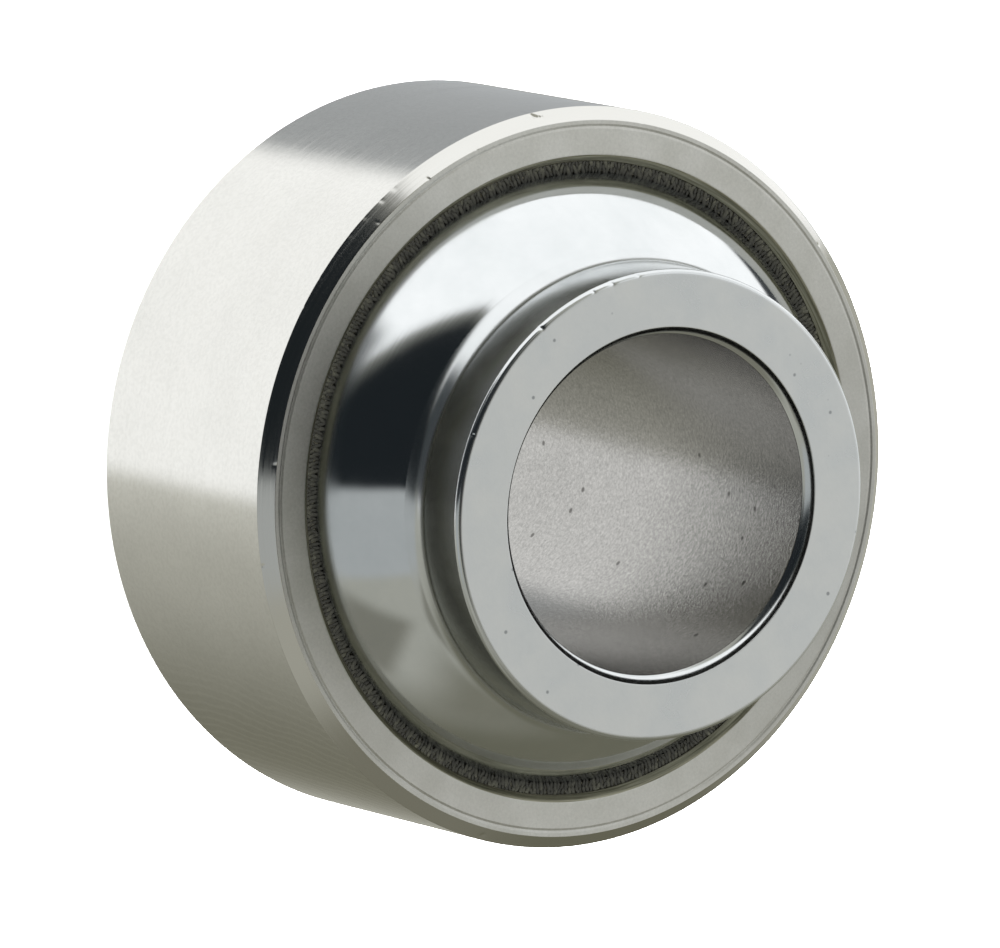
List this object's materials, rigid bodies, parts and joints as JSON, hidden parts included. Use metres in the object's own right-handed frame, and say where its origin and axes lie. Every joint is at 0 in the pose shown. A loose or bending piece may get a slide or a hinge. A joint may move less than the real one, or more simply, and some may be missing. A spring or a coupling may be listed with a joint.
{
  "type": "spherical plain bearing",
  "caption": "High misalignment spherical plain bearing: a ball with extended shoulders and a through bore tilts in a woven liner inside a one-piece outer ring.",
  "frame": {"origin": "centre of the ball's sphere, midway along the bore, which is also the middle of the part's box", "axes": "+Z along the ball's bore, the ball standing on its lower end; X is the axis about which the outer ring tilts, and the ring stands 2.6 degrees out of line with the ball about it"},
  "size_m": [0.035, 0.0356, 0.03],
  "materials": {
    "polished_steel": "hardened bearing steel, ball mirror polished, ends and bore ground satin",
    "ground_steel": "outside ground and polished, faces turned satin",
    "woven_liner": "dark woven PTFE fabric with tan threads, bonded with resin"
  },
  "bodies": {
    "ball": {"ball": "polished_steel"},
    "ring": {"outer_ring": "ground_steel", "liner": "woven_liner"}
  },
  "joints": [
    {"name": "ring_tilt", "type": "hinge", "parent": "ball", "child": "ring", "pos_m": [0, 0, 0], "axis": [1, 0, 0], "range_deg": [-22.6, 17.4]}
  ]
}
